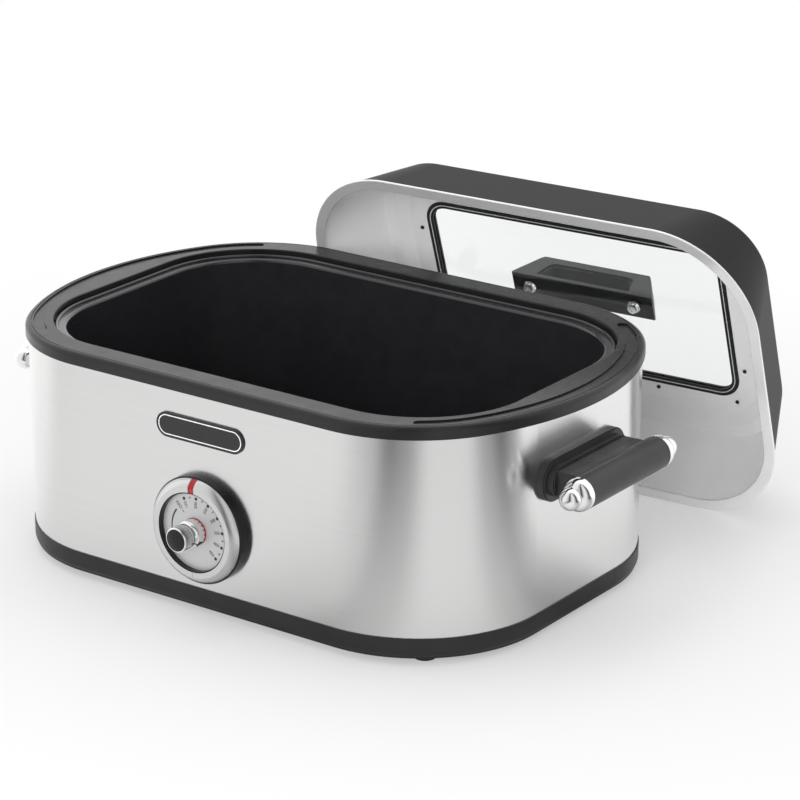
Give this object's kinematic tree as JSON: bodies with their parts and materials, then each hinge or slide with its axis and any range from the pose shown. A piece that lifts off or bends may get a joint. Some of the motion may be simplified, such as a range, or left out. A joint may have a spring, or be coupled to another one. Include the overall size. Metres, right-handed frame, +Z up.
{
  "type": "electric roaster oven",
  "caption": "Electric roaster oven with steel body, drop-in pan, side grips, temperature dial and a domed lid with a window, stood open behind it.",
  "frame": {"origin": "on the counter, under the middle of the roaster's body", "axes": "+X along the body's length to the right seen from the front, +Y to the back, +Z up"},
  "size_m": [0.6018, 0.5478, 0.2828],
  "materials": {
    "brushed_wrap": "fine vertical brushing, satin",
    "black_base": "smooth, low sheen",
    "foot_rubber": "matt",
    "zinc_screw": "zinc plated",
    "grey_rim": "satin dark grey moulding",
    "well_steel": "aluminised sheet, dull",
    "element_steel": "oxidised sheath",
    "zinc_steel": "zinc plated sheet",
    "shield_foil": "mill finish",
    "thermostat_body": "cream ceramic-filled body",
    "black_trim": "semi-gloss",
    "dial_silver": "satin silver",
    "ring_silver": "circular brushed",
    "red_lens": "clear red",
    "badge_grey": "satin charcoal with light edge line",
    "handle_black": "low sheen",
    "cap_chrome": "polished",
    "gland_black": "plain",
    "knob_chrome": "polished",
    "knob_red": "plain",
    "shaft_steel": "turned",
    "pan_enamel": "glossy dark enamel",
    "lid_enamel": "glossy dark enamel",
    "liner_steel": "bright rolled sheet",
    "rim_band": "satin",
    "window_glass": "tempered, clear",
    "gasket_black": "satin",
    "rivet_black": "plain",
    "screw_chrome": "polished"
  },
  "bodies": {
    "base": {"steel_wrap": "brushed_wrap", "base_tray": "black_base", "foot_front_left": "foot_rubber", "foot_front_right": "foot_rubber", "foot_back_left": "foot_rubber", "foot_back_right": "foot_rubber", "tie_screws": "zinc_screw", "rim_collar": "grey_rim", "heating_well": "well_steel", "heating_element": "element_steel", "element_clips": "zinc_steel", "heat_shield": "shield_foil", "thermostat": "thermostat_body", "thermostat_bracket": "zinc_steel", "thermostat_nut": "zinc_screw", "dial_housing": "black_trim", "dial_plate": "dial_silver", "dial_trim": "black_trim", "dial_ring": "ring_silver", "indicator_lens": "red_lens", "badge": "badge_grey", "handle_right": "handle_black", "handle_left": "handle_black", "end_cap_right_front": "cap_chrome", "end_cap_right_back": "cap_chrome", "end_cap_left_front": "cap_chrome", "end_cap_left_back": "cap_chrome", "handle_screws_right": "zinc_screw", "handle_screws_left": "zinc_screw", "cord_gland": "gland_black"},
    "knob": {"knob": "knob_chrome", "knob_cap": "black_trim", "knob_foot_ring": "knob_red", "knob_shaft": "shaft_steel"},
    "pan": {"roasting_pan": "pan_enamel"},
    "lid": {"lid_shell": "lid_enamel", "lid_liner": "liner_steel", "lid_rim": "rim_band", "window_glass": "window_glass", "window_gasket": "gasket_black", "window_rivets": "rivet_black", "lid_handle": "handle_black", "lid_washers": "screw_chrome", "lid_screws": "screw_chrome"}
  },
  "joints": [
    {"name": "knob_turn", "type": "hinge", "parent": "base", "child": "knob", "pos_m": [0, -0.19, 0.0772], "axis": [0, -1, 0], "range_deg": [0, 180]},
    {"name": "pan_lift", "type": "slide", "parent": "base", "child": "pan", "axis": [0, 0, 1], "range_m": [0, 0.25]},
    {"name": "lid_lift", "type": "slide", "parent": "base", "child": "lid", "axis": [0, 0, 1], "range_m": [0, 0.32]}
  ]
}
